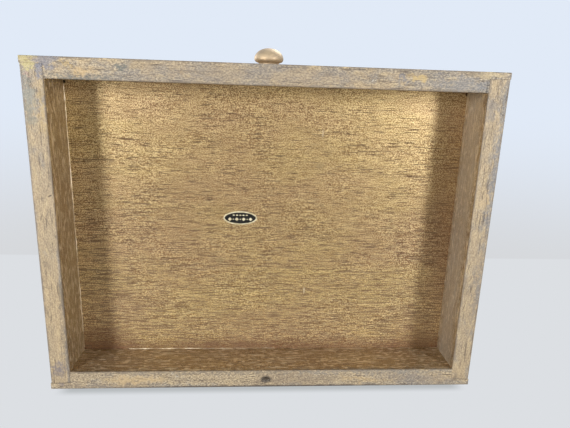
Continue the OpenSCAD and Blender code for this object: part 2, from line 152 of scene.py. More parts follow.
def floor_paper(tree, place):
    """Matt paper under the lamps, which takes on the backdrop's own colour far from the box."""
    far = share(tree, fade(tree, length(tree, place), 0.35, 1.7), 0.9, 0.1)
    paper = put(tree, "ShaderNodeBsdfDiffuse", {"Color": shade(232, 236, 240)})
    return mixed(tree, far, paper, put(tree, "ShaderNodeEmission", {"Color": backdrop})), 1.0


def contact_shadow(tree, place):
    """The dim line on the table close under the back board, which the box stands on."""
    x, y, z = parted(tree, place)
    beside = fade(tree, calc(tree, "ABSOLUTE", x), 0.114, 0.104)
    under = calc(tree, "MULTIPLY", beside, fade(tree, z, -0.0068, -0.0006))
    return put(tree, "ShaderNodeEmission", {"Color": shade(184, 188, 190)}), under


just_under_rim = Matrix.Translation((0, 0, -0.0002))
studio_sheet("floor", (-3, 3), (-3, 3), just_under_rim, floor_paper)
behind_back = Matrix.Translation((0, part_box("back_board")[1].y + 0.0003, 0))
upright = Matrix.Rotation(math.radians(90), 4, "X")
studio_sheet("contact_shadow", (-0.114, 0.114), (-0.008, 0.003), behind_back @ upright, contact_shadow)

world = bpy.data.worlds.new("studio")
bpy.context.scene.world = world
world.use_nodes = True
sky = world.node_tree
sky.nodes.clear()
sky_path = put(sky, "ShaderNodeLightPath").outputs
sky_y, sky_z = parted(sky, put(sky, "ShaderNodeTexCoord").outputs["Generated"])[1:]
sky_mirror = calc(sky, "MAXIMUM", sky_path["Is Glossy Ray"], sky_path["Is Transmission Ray"])
sky_mirror = calc(sky, "MULTIPLY", sky_mirror, fade(sky, sky_z, -0.35, 0.25))
sky_shown = calc(sky, "MAXIMUM", sky_path["Is Camera Ray"], sky_mirror)
# Overhead, a wall that pales as it rises, and the table in front of it past a straight edge
wall_seen = tint(sky, fade(sky, sky_y, 0.32, 0.02), shade(214, 216, 219), shade(225, 234, 247))
table_edge_slope = 0.3535
past_edge = calc(sky, "SUBTRACT", sky_y, share(sky, sky_z, table_edge_slope))
overhead = tint(sky, fade(sky, past_edge, 0.0, 0.003), wall_seen, shade(220, 223, 227))
sky_colour = tint(sky, fade(sky, sky_z, 0.38, 0.50), backdrop, overhead)
sky_fill = put(sky, "ShaderNodeBackground", {"Color": (0.9, 0.95, 1.0, 1), "Strength": 0.06})
sky_seen = put(sky, "ShaderNodeBackground", {"Color": sky_colour, "Strength": 1.0})
put(sky, "ShaderNodeOutputWorld", {"Surface": mixed(sky, sky_shown, sky_fill, sky_seen).outputs[0]})


def soft_lamp(name, location, target, width, height, power):
    """A white lamp behind a sheet of cloth, aimed at a place."""
    light = bpy.data.lights.new(name, "AREA")
    light.shape = "RECTANGLE"
    light.size = width
    light.size_y = height
    light.energy = power
    lamp = bpy.data.objects.new(name, light)
    lamp.location = location
    lamp.rotation_euler = (Vector(target) - Vector(location)).to_track_quat("-Z", "Y").to_euler()
    bpy.context.scene.collection.objects.link(lamp)


soft_lamp("under_left", (-0.66, -0.13, -0.70), (0, 0, 0.02), 0.42, 0.18, 8.7)
soft_lamp("under_right", (0.61, -0.15, -0.70), (0, 0, 0.02), 0.42, 0.15, 6.8)
soft_lamp("table_bounce", (0, 0.10, -0.40), (0, -0.02, 0.02), 0.6, 0.3, 0.45)
soft_lamp("top_front", (0.5, -0.9, 0.9), (0, 0, 0.05), 0.7, 0.5, 9)
soft_lamp("top_left", (-0.9, -0.2, 0.8), (0, 0, 0.05), 0.7, 0.5, 8)
soft_lamp("top_back", (0.4, 1.0, 0.9), (0, 0, 0.05), 0.7, 0.5, 7)


# ---- Bottom panel --------------------
# A sheet of open-pored plywood let into grooves in the four walls, with its grain across the box.
# It is brushed with gold paint that leaves the pores dark, and each corner of it is nipped off.
def new_group(name, inputs, outputs):
    """An empty shader group, with its input and output sockets listed as name: kind."""
    group = bpy.data.node_groups.new(name, "ShaderNodeTree")
    for in_out, sockets in (("INPUT", inputs), ("OUTPUT", outputs)):
        for label, kind in sockets.items():
            group.interface.new_socket(name=label, in_out=in_out, socket_type="NodeSocket" + kind)
    return group, group.nodes.new("NodeGroupInput").outputs, group.nodes.new("NodeGroupOutput")


def grouped(tree, group, inputs):
    """Places a shader group in a material or in another group."""
    return put(tree, "ShaderNodeGroup", inputs, node_tree=group).outputs


def vector(tree, operation, a, b):
    """One sum or comparison of two places."""
    return put(tree, "ShaderNodeVectorMath", {0: a, 1: b}, operation=operation).outputs[0]


def mottle(tree, point, per_metre, detail=2.0, rough=0.5):
    """Noise with its own number of features per metre along each axis."""
    stretched = vector(tree, "MULTIPLY", point, per_metre)
    settings = {"Vector": stretched, "Scale": 1.0, "Detail": detail, "Roughness": rough}
    return put(tree, "ShaderNodeTexNoise", settings).outputs[0]


def layered(tree, coat, *layers):
    """Lays more tones over a coat, one after another. Each layer is (mask, strength, tone)."""
    for mask, strength, tone in layers:
        coat = tint(tree, share(tree, mask, strength), coat, shade(*tone))
    return coat


# Open grain: dark pores in dashes, long streaks, broad blotches and the fine tooth of the paint
open_grain, given, made = new_group(
    "open_grain", {"Grain": "Vector", "Crowd": "Float"},
    {"Pores": "Float", "Streaks": "Float", "Blotches": "Float", "Tooth": "Float"},
)
tree = open_grain
wave = put(tree, "ShaderNodeTexNoise", {"Vector": given["Grain"], "Scale": 14.0, "Detail": 1.0}).outputs[1]
wave = vector(tree, "MULTIPLY", vector(tree, "SUBTRACT", wave, (0.5, 0.5, 0.5)), (0, 0.0022, 0.0022))
along = vector(tree, "ADD", given["Grain"], wave)
crowd = mottle(tree, along, (30, 160, 160), 3.0, 0.6)
crowd = calc(tree, "ADD", share(tree, crowd, 0.2, -0.1), given["Crowd"])
long_pores = calc(tree, "ADD", mottle(tree, along, (110, 1700, 1700), 2.0), crowd)
short_pores = calc(tree, "ADD", mottle(tree, along, (280, 2200, 2200), 1.0), crowd)
short_pores = share(tree, fade(tree, short_pores, 0.56, 0.70), 0.7)
tooth = share(tree, mottle(tree, along, (2000, 2500, 2500), 1.0), 1.3)
tooth = share(tree, tooth, 1.0, -0.325)
tooth = share(tree, mottle(tree, along, (130, 2300, 2300), 1.0), 0.35, tooth)
feed(tree, made, {
    "Pores": calc(tree, "MAXIMUM", fade(tree, long_pores, 0.55, 0.66), short_pores),
    "Streaks": fade(tree, mottle(tree, along, (9, 300, 300), 3.0, 0.65), 0.36, 0.66),
    "Blotches": fade(tree, mottle(tree, along, (13, 34, 34), 3.0, 0.55), 0.3, 0.7),
    "Tooth": tooth,
})

# Gold coat: the paint over that grain, as colour, metal, roughness and height in millimetres
coat_parts = {"Colour": "Color", "Metallic": "Float", "Roughness": "Float", "Height": "Float"}
gold_coat, given, made = new_group("gold_coat", {"Grain": "Vector", "Crowd": "Float"}, coat_parts)
tree = gold_coat
grain = grouped(tree, open_grain, {"Grain": given["Grain"], "Crowd": given["Crowd"]})
coat = layered(
    tree, tint(tree, grain["Blotches"], shade(173, 142, 107), shade(187, 163, 110)),
    (grain["Streaks"], 0.35, (146, 117, 84)),
    (fade(tree, grain["Tooth"], 0.49, 0.63), 0.66, (232, 212, 162)),
    (fade(tree, grain["Tooth"], 0.51, 0.38), 0.72, (107, 78, 49)),
    (grain["Pores"], 0.74, (68, 41, 22)),
)
relief = share(tree, grain["Pores"], -0.12, share(tree, grain["Tooth"], 0.1))
feed(tree, made, {
    "Colour": coat,
    "Metallic": share(tree, grain["Pores"], -0.4, 0.65),
    "Roughness": share(tree, grain["Pores"], 0.25, 0.37),
    "Height": share(tree, grain["Streaks"], -0.05, relief),
})


def new_material(name, values=None):
    """A material with one Principled shader, and the values that are the same all over it."""
    material = bpy.data.materials.new(name)
    material.use_nodes = True
    shader = material.node_tree.nodes["Principled BSDF"]
    for socket, value in (values or {}).items():
        shader.inputs[socket].default_value = value
    return material, material.node_tree, shader


def object_point(tree):
    return put(tree, "ShaderNodeTexCoord").outputs["Object"]


def grain_point(tree, way="X", shift=(0.0, 0.0, 0.0)):
    """Object coordinates turned so that their X runs along the grain, and moved to a fresh part of it."""
    turn = {"X": (0, 0, 0), "Y": (0, 0, math.radians(90))}[way]
    moved = {"Vector": object_point(tree), "Rotation": turn, "Location": shift}
    return put(tree, "ShaderNodeMapping", moved).outputs[0]


def lay_on(tree, shader, colour, roughness=None, height=None, strength=0.7, metallic=None):
    """Joins a coat's colour, roughness, height in millimetres and metal to its shader."""
    coat = {"Base Color": colour, "Roughness": roughness, "Metallic": metallic}
    if height is not None:
        bump = {"Strength": strength, "Distance": 0.001, "Height": height}
        coat["Normal"] = put(tree, "ShaderNodeBump", bump).outputs[0]
    feed(tree, shader, {socket: value for socket, value in coat.items() if value is not None})


def spot(tree, point, centre, reach, edge=0.4, turn=0.0):
    """1 within reach of a place, along each axis of an oval turned about Z, and 0 past it."""
    oval = {"Vector": point, "Location": centre, "Rotation": (0, 0, turn), "Scale": reach}
    near = put(tree, "ShaderNodeMapping", oval, vector_type="TEXTURE").outputs[0]
    return fade(tree, length(tree, near), 1.0 + edge, 1.0 - edge)


def take_up(*pieces):
    """Selects these pieces alone, and makes the first of them active."""
    bpy.ops.object.select_all(action="DESELECT")
    for piece in pieces:
        piece.select_set(True)
    bpy.context.view_layer.objects.active = pieces[0]


def open_up(piece):
    """Takes up a piece in edit mode, with all of it selected."""
    take_up(piece)
    bpy.ops.object.mode_set(mode="EDIT")
    bpy.ops.mesh.select_all(action="SELECT")


def joined_copy(node, name):
    """A CAD node's mesh as a piece of its own, with its loose triangles joined into whole faces."""
    piece = bpy.data.objects.new(name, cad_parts[node].data.copy())
    piece.data.materials.clear()
    bpy.context.scene.collection.objects.link(piece)
    open_up(piece)
    bpy.ops.mesh.remove_doubles(threshold=1e-6)
    bpy.ops.mesh.dissolve_limited(angle_limit=math.radians(1))
    bpy.ops.object.mode_set(mode="OBJECT")
    return piece


def apply_modifier(piece, kind, **settings):
    bpy.context.view_layer.objects.active = piece
    modifier = piece.modifiers.new(kind.lower(), kind)
    for name, value in settings.items():
        setattr(modifier, name, value)
    bpy.ops.object.modifier_apply(modifier=modifier.name)


def fit(piece, node, body, material):
    """Gives a finished piece its material and its body, and hides the CAD node that it stands for."""
    if not piece.data.materials:
        piece.data.materials.append(material)
    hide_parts(node)
    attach(piece, body)


def finish_node(node, material):
    """Puts a finish on a CAD node that is shown as it is."""
    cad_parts[node].data.materials.clear()
    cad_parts[node].data.materials.append(material)


right_low, right_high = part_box("right_side_board")
rail_low, rail_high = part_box("front_rail")
back_low, back_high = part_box("back_board")
wall_inner_x, recess_front_y, recess_back_y = right_low.x, rail_high.y, back_low.y
panel_face_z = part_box("bottom_panel")[0].z

panel_gold, tree, shader = new_material("panel_gold")
here = object_point(tree)
towards_back = parted(tree, here)[1]
crowd = share(tree, towards_back, 0.9, 0.010)
painted = grouped(tree, gold_coat, {"Grain": grain_point(tree), "Crowd": crowd})
# Painted light: the panel's colour is scaled up, to 22 percent lighter, towards the back wall.
painted_light_to_back = share(tree, fade(tree, towards_back, -0.01, 0.07), 0.22, 1.0)
colour = put(
    tree, "ShaderNodeVectorMath", {"Vector": painted["Colour"], "Scale": painted_light_to_back}, operation="SCALE",
).outputs[0]
# Painted shade: a near-black spot at each corner of the panel, where the nipped corner leaves a gap.
nipped, front_lip = 0.0011, 0.0008
for x in (-wall_inner_x, wall_inner_x):
    for y in (recess_front_y + front_lip, recess_back_y):
        corner_gap_shade = spot(tree, here, (x, y, panel_face_z), (nipped,) * 3)
        colour = layered(tree, colour, (corner_gap_shade, 1.0, (22, 14, 8)))
# Painted shade along the right and back walls and in the back corners, then a few rubbed marks: (place,
# reach, strength, tone, softness)
painted_shade_tone, through = (106, 72, 49), 0.01
for place, reach, strength, tone, edge in (
    ((0.1070, -0.02), (0.0150, 0.070), 0.5, painted_shade_tone, 0.6),
    ((-0.0980, 0.0790), (0.0210, 0.0130), 0.6, painted_shade_tone, 0.6),
    ((0.0950, 0.0800), (0.0220, 0.0120), 0.45, painted_shade_tone, 0.6),
    ((0.0, 0.0830), (0.1600, 0.0070), 0.6, painted_shade_tone, 0.6),
    ((0.0283, -0.0472), (0.0004, 0.0022), 0.55, (212, 196, 166), 0.4),
    ((0.0218, 0.0435), (0.0005, 0.0020), 0.55, (218, 202, 170), 0.4),
    ((0.0276, -0.0299), (0.0022, 0.0016), 0.55, (158, 140, 104), 0.4),
    ((-0.0267, 0.0254), (0.0026, 0.0016), 0.55, (152, 134, 98), 0.4),
):
    mark = spot(tree, here, (*place, panel_face_z), (*reach, through), edge)
    colour = layered(tree, colour, (mark, strength, tone))
lay_on(tree, shader, colour, painted["Roughness"], painted["Height"], metallic=painted["Metallic"])
finish_node("bottom_panel", panel_gold)


# ---- Paint beads --------------------
# Paint that ran along the foot of the left wall and part of the back wall, and set in a thin bright bead.
# It lies in the corner between wall and panel, and swells and thins along its length.
def cut_across(axis, start, end, cuts):
    """Cuts the mesh that is in edit mode across an axis, into equal lengths."""
    for i in range(1, cuts):
        place, normal = Vector((0, 0, 0)), Vector((0, 0, 0))
        place[axis] = start + (end - start) * i / cuts
        normal[axis] = 1
        bpy.ops.mesh.select_all(action="SELECT")
        bpy.ops.mesh.bisect(plane_co=place, plane_no=normal)


def paint_bead(name, axis, start, end, segments, gaps):
    """A thin round bead along a corner. gaps lists the stretches where it thins to nothing."""
    start, end = Vector(start), Vector(end)
    run = end - start
    bpy.ops.object.select_all(action="DESELECT")
    bpy.ops.mesh.primitive_cylinder_add(
        vertices=8, radius=bead_radius, depth=run.length, location=(start + end) / 2,
        rotation=run.to_track_quat("Z", "Y").to_euler(),
    )
    bead = bpy.context.object
    bead.name = name
    bpy.ops.object.transform_apply(location=True, rotation=True, scale=True)
    open_up(bead)
    cut_across(axis, start[axis], end[axis], segments)
    bpy.ops.object.mode_set(mode="OBJECT")
    for vertex in bead.data.vertices:
        share_along = (vertex.co - start).dot(run) / run.length_squared
        centre = start + run * share_along
        swell = 0.75 + 0.7 * noise.noise(centre * 260) + 0.35 * noise.noise(centre * 900)
        if any(low < share_along < high for low, high in gaps):
            swell *= bead_in_gap
        swell *= 1.15 - 0.45 * share_along
        if share_along < 0.001 or share_along > 0.999:
            swell *= bead_at_tip
        vertex.co = centre + (vertex.co - centre) * max(bead_thinnest, swell)
    bpy.ops.object.shade_smooth()
    bead.data.materials.append(bead_gold)
    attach(bead, "case")


bead_radius = 0.00030
bead_in_gap, bead_at_tip, bead_thinnest = 0.35, 0.2, 0.15
bead_gold, tree, shader = new_material("bead_gold", {"Metallic": 0.35})
bead_tone = fade(tree, mottle(tree, object_point(tree), (300, 300, 300), 3.0), 0.35, 0.65)
colour = tint(tree, bead_tone, shade(205, 190, 160), shade(240, 226, 200))
lay_on(tree, shader, colour, share(tree, bead_tone, -0.15, 0.5))
paint_bead(
    "paint_bead_left", 1, (-wall_inner_x, recess_front_y + 0.002, panel_face_z),
    (-wall_inner_x, recess_back_y - 0.001, panel_face_z), 90, ((0.46, 0.52), (0.62, 0.72), (0.93, 1.0)),
)
paint_bead(
    "paint_bead_back", 0, (-0.080, recess_back_y, panel_face_z), (0.006, recess_back_y, panel_face_z),
    60, ((0.16, 0.22), (0.33, 0.38), (0.47, 0.62), (0.70, 0.92)),
)


# ---- Label --------------------
# A small oval of black foil with a raised cream edge, stuck to the bottom panel.
# It carries two plain rows: lozenges with dots between them, and smaller lozenges.
label_low, label_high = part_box("oval_label")
label_middle = (label_low + label_high) / 2
label_half = (label_high - label_low) / 2
label_edge = 0.0007
label_step = 0.00005
label_cream, tree, shader = new_material("label_cream", {"Metallic": 0.1})
speck = mottle(tree, object_point(tree), (900, 900, 900), 3.0)
colour = tint(tree, fade(tree, speck, 0.35, 0.7), shade(216, 208, 178), shade(180, 166, 128))
lay_on(tree, shader, colour, share(tree, speck, 0.2, 0.35))
label_black, tree, shader = new_material("label_black", {"Specular IOR Level": 0.3})
speck = mottle(tree, object_point(tree), (700, 700, 700), 4.0)
colour = tint(tree, fade(tree, speck, 0.45, 0.8), shade(9, 10, 9), shade(34, 34, 31))
lay_on(tree, shader, colour, share(tree, speck, 0.3, 0.4))


def foil_disc(sides, half_width, half_height, place, depth):
    """A flat oval or lozenge of foil, made down from its place by a depth."""
    bpy.ops.object.select_all(action="DESELECT")
    bpy.ops.mesh.primitive_circle_add(vertices=sides, radius=1, fill_type="NGON")
    disc = bpy.context.object
    disc.data.transform(Matrix.Diagonal((half_width, half_height, 1, 1)))
    disc.data.transform(Matrix.Translation(place))
    disc.data.materials.append(label_cream)
    open_up(disc)
    bpy.ops.mesh.extrude_region_move(TRANSFORM_OT_translate={"value": (0, 0, -depth)})
    bpy.ops.mesh.select_all(action="SELECT")
    bpy.ops.mesh.normals_make_consistent(inside=False)
    bpy.ops.object.mode_set(mode="OBJECT")
    return disc


label = foil_disc(
    96, label_half.x, label_half.y, (label_middle.x, label_middle.y, label_high.z),
    label_high.z - label_low.z - label_step,
)
label.data.materials.append(label_black)
open_up(label)
bpy.ops.mesh.select_mode(type="FACE")
bpy.ops.mesh.select_all(action="DESELECT")
mesh = bmesh.from_edit_mesh(label.data)
for face in mesh.faces:
    face.select_set(face.normal.z < -0.9)
bmesh.update_edit_mesh(label.data)
bpy.ops.mesh.inset(thickness=label_edge / 8, depth=label_step)
bpy.ops.mesh.inset(thickness=label_edge * 3 / 4)
bpy.ops.mesh.inset(thickness=label_edge / 8, depth=-label_step)
bpy.context.object.active_material_index = 1
bpy.ops.object.material_slot_assign()
bpy.ops.object.mode_set(mode="OBJECT")


def label_mark(sides, half_width, half_height, x, y):
    """A small raised lozenge or dot on the label's black field."""
    place = (label_middle.x + x, label_middle.y + y, label_low.z + 2 * label_step)
    return foil_disc(sides, half_width, half_height, place, 1.5 * label_step)


def joined(pieces, name):
    """Joins pieces into the first of them."""
    take_up(*pieces)
    if len(pieces) > 1:
        bpy.ops.object.join()
    pieces[0].name = name
    return pieces[0]


row_y, row_pitch, low_row_y, low_row_pitch = 0.0007, 0.0019, -0.0016, 0.0018
marks = [label_mark(4, 0.00105, 0.0010, row_pitch * i, row_y) for i in range(-3, 4, 2)]
marks += [label_mark(12, 0.00032, 0.00032, row_pitch * i, row_y) for i in range(-2, 3, 2)]
marks += [label_mark(4, 0.0007, 0.00042, low_row_pitch * i, low_row_y) for i in range(-2, 3)]
label = joined([label, *marks], "oval_foil_label")
fit(label, "oval_label", "case", label_cream)


# ---- Case boards --------------------
# Five boards of an open-pored hardwood. The front and back boards lap the side boards' ends.
# They are glued and nailed, brushed gold, and rubbed through to a grey ground along the rim and edges.
worn_and_shaded_coat, given, made = new_group(
    "worn_and_shaded_coat",
    {
        "Grain": "Vector", "Point": "Vector", "Low": "Vector", "High": "Vector", "Rubbed": "Float",
        "Sand": "Float",
    },
    coat_parts,
)
tree = worn_and_shaded_coat
painted = grouped(tree, gold_coat, {"Grain": given["Grain"]})
grain = grouped(tree, open_grain, {"Grain": given["Grain"]})
from_low = vector(tree, "SUBTRACT", given["Point"], given["Low"])
from_high = vector(tree, "SUBTRACT", given["High"], given["Point"])
nearest = parted(tree, vector(tree, "MINIMUM", from_low, from_high))
less = calc(tree, "MINIMUM", nearest[0], nearest[1])
more = calc(tree, "MAXIMUM", nearest[0], nearest[1])
from_edge = calc(tree, "MAXIMUM", less, calc(tree, "MINIMUM", more, nearest[2]))
wander = share(tree, mottle(tree, given["Point"], (130, 130, 130), 4.0, 0.6), 0.0036, -0.0018)
edge_wear = fade(tree, calc(tree, "ADD", from_edge, wander), 0.0009, 0.0001)
height_up = parted(tree, given["Point"])[2]
rim = fade(tree, height_up, 0.0010, 0.0004)

# The rim, grazed to its grey ground in patches, with flecks of gold, grit and dark dashes
patches = mottle(tree, given["Grain"], (60, 105, 105), 4.0, 0.6)
grazed = calc(tree, "ADD", share(tree, patches, 2.6, -1.3), given["Rubbed"])
sand = mottle(tree, given["Grain"], (900, 1500, 1500), 3.0, 0.75)
dashes = mottle(tree, given["Grain"], (75, 1000, 1000), 2.0)
flecks = mottle(tree, given["Grain"], (150, 340, 340), 4.0, 0.6)
rim_coat = layered(
    tree, tint(tree, grain["Blotches"], shade(158, 141, 116), shade(172, 151, 119)),
    (fade(tree, grazed, 0.25, 0.65), 1.0, (142, 132, 119)),
    (fade(tree, grazed, 0.65, 1.10), 1.0, (124, 121, 119)),
    (fade(tree, flecks, 0.53, 0.66), 0.55, (191, 170, 133)),
    (fade(tree, flecks, 0.47, 0.34), 0.5, (110, 97, 84)),
    (fade(tree, sand, 0.49, 0.62), given["Sand"], (202, 186, 155)),
    (fade(tree, sand, 0.51, 0.38), given["Sand"], (84, 76, 68)),
    (fade(tree, dashes, 0.585, 0.68), 0.7, (82, 70, 60)),
)

# The recess's walls, darker there as painted shade, and brushed with bright strokes down to the panel
strokes = mottle(tree, given["Grain"], (75, 900, 900), 3.0, 0.65)
strokes = calc(tree, "MAXIMUM", strokes, mottle(tree, given["Grain"], (260, 760, 760), 2.0))
from_middle = vector(tree, "SUBTRACT", given["Point"], (0, (recess_front_y + recess_back_y) / 2, 0))
from_middle = vector(tree, "ABSOLUTE", from_middle, (0, 0, 0))
recess_half = (wall_inner_x, (recess_back_y - recess_front_y) / 2, 0)
past_walls = parted(tree, vector(tree, "SUBTRACT", from_middle, recess_half))
in_recess = fade(tree, calc(tree, "MAXIMUM", past_walls[0], past_walls[1]), 0.0012, 0.0004)
in_recess = calc(tree, "MULTIPLY", in_recess, fade(tree, height_up, panel_face_z + 0.002, panel_face_z))
walls = layered(
    tree, painted["Colour"], (in_recess, 0.30, (122, 98, 74)),
    (fade(tree, strokes, 0.52, 0.68), share(tree, in_recess, 0.85), (236, 220, 190)),
)
colour = tint(tree, rim, walls, rim_coat)
coated = calc(tree, "SUBTRACT", 1.0, calc(tree, "MAXIMUM", rim, edge_wear))
feed(tree, made, {
    "Colour": layered(tree, colour, (edge_wear, 0.75, (122, 110, 95))),
    "Metallic": calc(tree, "MULTIPLY", painted["Metallic"], share(tree, coated, 0.8, 0.2)),
    "Roughness": share(tree, coated, -0.14, 0.56),
    "Height": share(tree, flecks, 0.15, painted["Height"]),
})


def rubbed_away(tree, here, base, *patches):
    """How far a rim is worn: base all over, and more in patches. A patch is how much more, then the
    fades that bound it, each as (axis, start, end)."""
    for more, *fades in patches:
        patch = 1.0
        for axis, start, end in fades:
            bound = fade(tree, parted(tree, here)[axis], start, end)
            patch = calc(tree, "MULTIPLY", patch, bound)
        base = share(tree, patch, more, base)
    return base


def board_paint(name, way, low, high, rubbed, shift, marks, sand):
    """Worn gold paint for one board. rubbed says how far its rim is worn, and where.
    marks adds the scratches, stains and any painted shade that only this board has."""
    material, tree, shader = new_material(name)
    here = object_point(tree)
    worn = grouped(tree, worn_and_shaded_coat, {
        "Grain": grain_point(tree, way, shift), "Point": here, "Low": low, "High": high,
        "Rubbed": rubbed_away(tree, here, *rubbed), "Sand": sand,
    })
    colour = marks(tree, here, worn["Colour"]) if marks else worn["Colour"]
    lay_on(tree, shader, colour, worn["Roughness"], worn["Height"], metallic=worn["Metallic"])
    return material


def stains_and_painted_shade(stains, scratches=()):
    """Gives a function that lays patches of other tones over a coat, with ragged outlines, then small
    marks with cleaner ones. Most are stains and wear, and a few are painted shade. Both list (centre,
    reach, tone, strength, turn) in millimetres. A centre with no height lies on the rim."""
    def lay(tree, here, colour):
        crumbled = {"Vector": here, "Scale": 300.0, "Detail": 5.0, "Roughness": 0.65}
        jitter = put(tree, "ShaderNodeTexNoise", crumbled).outputs[1]
        jitter = vector(tree, "SUBTRACT", jitter, (0.5, 0.5, 0.5))
        for marks, ragged in ((stains, 0.014), (scratches, 0.002)):
            place = vector(tree, "ADD", here, vector(tree, "MULTIPLY", jitter, (ragged,) * 3))
            for centre, reach, tone, strength, *turn in marks:
                centre = [size / 1000 for size in (*centre, 0)[:3]]
                reach = [size / 1000 for size in (*reach, 2)[:3]]
                patch = spot(tree, place, centre, reach, 0.4, *turn)
                colour = layered(tree, colour, (patch, strength, tone))
        return colour
    return lay


widest_ease = 0.0024
crease = math.radians(35)
least_fold = 0.5


def cut_out(piece, cutter):
    """Cuts one shape out of a piece, and takes the cutter away."""
    apply_modifier(piece, "BOOLEAN", object=cutter, operation="DIFFERENCE")
    bpy.data.objects.remove(cutter)


def clean(piece):
    """Merges points that fall together, and drops faces and edges that have no size."""
    open_up(piece)
    bpy.ops.mesh.remove_doubles(threshold=3e-6)
    bpy.ops.mesh.dissolve_degenerate(threshold=3e-6)
    bpy.ops.object.mode_set(mode="OBJECT")


def eased(piece, amount, way="X", step=0.004, segments=3, shortest=0.0018):
    """Cuts a board across every few millimetres, then rounds its long outer edges
    by amount(point, direction) at each place, so that the rounding wanders as wear does."""
    axis = "XYZ".index(way)
    coords = [v.co[axis] for v in piece.data.vertices]
    start, end = min(coords), max(coords)
    open_up(piece)
    cut_across(axis, start, end, round((end - start) / step))
    mesh = bmesh.from_edit_mesh(piece.data)
    weight = mesh.edges.layers.float.new("bevel_weight_edge")
    for edge in mesh.edges:
        if len(edge.link_faces) != 2 or not edge.is_convex or edge.calc_face_angle() < least_fold:
            continue
        along = edge.verts[1].co - edge.verts[0].co
        if along.length < shortest:
            continue
        middle = (edge.verts[0].co + edge.verts[1].co) / 2
        edge[weight] = amount(middle, along.normalized()) / widest_ease
    bmesh.update_edit_mesh(piece.data)
    bpy.ops.object.mode_set(mode="OBJECT")
    apply_modifier(piece, "BEVEL", width=widest_ease, limit_method="WEIGHT", segments=segments)
    clean(piece)
    bpy.ops.object.shade_smooth_by_angle(angle=crease)
    apply_modifier(piece, "WEIGHTED_NORMAL", keep_sharp=True)


def handled(point, least, most):
    """An amount of rounding that wanders between two values along an edge."""
    return least + (most - least) * min(1.0, max(0.0, 0.5 + noise.noise(point * 90)))


case_half_x = right_high.x
corner_round = {(-1, -1): 0.0006, (1, -1): 0.0012, (-1, 1): 0.0013, (1, 1): 0.0019}
on_face = 0.0005
inside_rail_y = -0.079


def case_ease(middle, along):
    """How far the case's edges are rounded: most at the corners and the rim, least at the joints."""
    front, back = middle.y < rail_low.y + on_face, middle.y > back_high.y - on_face
    if abs(along.z) > 0.9:
        if (front or back) and abs(middle.x) > case_half_x:
            return corner_round[(1 if middle.x > 0 else -1, 1 if back else -1)]
        return 0.00018
    if middle.z >= on_face:
        return 0.0002
    if abs(middle.x) > wall_inner_x and inside_rail_y < middle.y < recess_front_y:
        return 0.00008
    if back:
        return handled(middle, 0.0007, 0.0013)
    if front or abs(middle.x) > case_half_x - on_face:
        return handled(middle, 0.00012, 0.0004)
    return handled(middle, 0.0002, 0.0006)


def dented(board, centre, half):
    """Knocks a small ragged hollow into a board."""
    bpy.ops.mesh.primitive_ico_sphere_add(subdivisions=2, radius=1)
    cutter = bpy.context.object
    for vertex in cutter.data.vertices:
        vertex.co *= 1 + 0.35 * noise.noise(vertex.co * 1.7)
    cutter.data.transform(Matrix.Translation(centre) @ Matrix.Diagonal((*half, 1)))
    cut_out(board, cutter)
    clean(board)


knock_place, knock_half = (0.0, 0.0863, 0.0), (0.0025, 0.0017, 0.0009)


def painted_board(node, body, ease, way, shift, rubbed=(0.2,), marks=None, sand=0.45):
    """A board shaped like its node, with its edges rounded by ease and its own paint."""
    board = joined_copy(node, node + "_wood")
    if node == "back_board":
        dented(board, knock_place, knock_half)
    eased(board, ease, way)
    paint = board_paint(node + "_gold", way, *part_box(node), rubbed, shift, marks, sand)
    fit(board, node, body, paint)


painted_board(
    "left_side_board", "case", case_ease, "Y", (0.31, 0.12, 0.0),
    (
        0.10, (0.4, ("Y", -0.02, -0.06)), (0.5, ("X", 0.0012 - case_half_x, 0.0003 - case_half_x)),
        (0.55, ("X", -0.1072, -0.1058), ("Y", -0.02, 0.03)),
    ),
    stains_and_painted_shade([
        ((-112, -77), (3.5, 3), (180, 168, 120), 0.8),
        ((-106.5, -75.5), (2.6, 4), (116, 118, 130), 0.7),
        ((-111.9, -72.2), (1.2, 1.2), (168, 138, 124), 0.7),
        ((-112.5, -60), (2.8, 11), (126, 130, 122), 0.5),
        ((-107, -56), (1.4, 12), (176, 152, 104), 0.5),
        ((-105.8, 55), (1.2, 26), (104, 94, 84), 0.45),
        ((-110.5, 79), (2.8, 4.6), (112, 106, 112), 0.6),
        ((-105.2, 0, 13), (6, 200, 10), (156, 138, 108), 0.35),
    ], [
        ((-107.7, -19.9), (3.8, 0.22), (112, 98, 80), 0.6, 1.90),
        ((-107.2, -15.8), (1.2, 0.35), (66, 56, 48), 0.8, -0.55),
        ((-111.6, -14.1), (2.6, 0.25), (120, 106, 88), 0.5, -0.06),
        ((-109.9, -3.6), (3.3, 0.25), (110, 98, 82), 0.6, 1.06),
        ((-112.1, -4.7), (1.9, 0.3), (104, 92, 78), 0.6, 1.85),
        ((-110.3, 10.8), (2.5, 0.25), (110, 98, 82), 0.5, 1.26),
        ((-112.6, 31.9), (2.5, 0.25), (110, 98, 82), 0.6, 0.22),
        ((-106, 35), (1.2, 5), (120, 108, 88), 0.5),
    ]), sand=0.35,
)
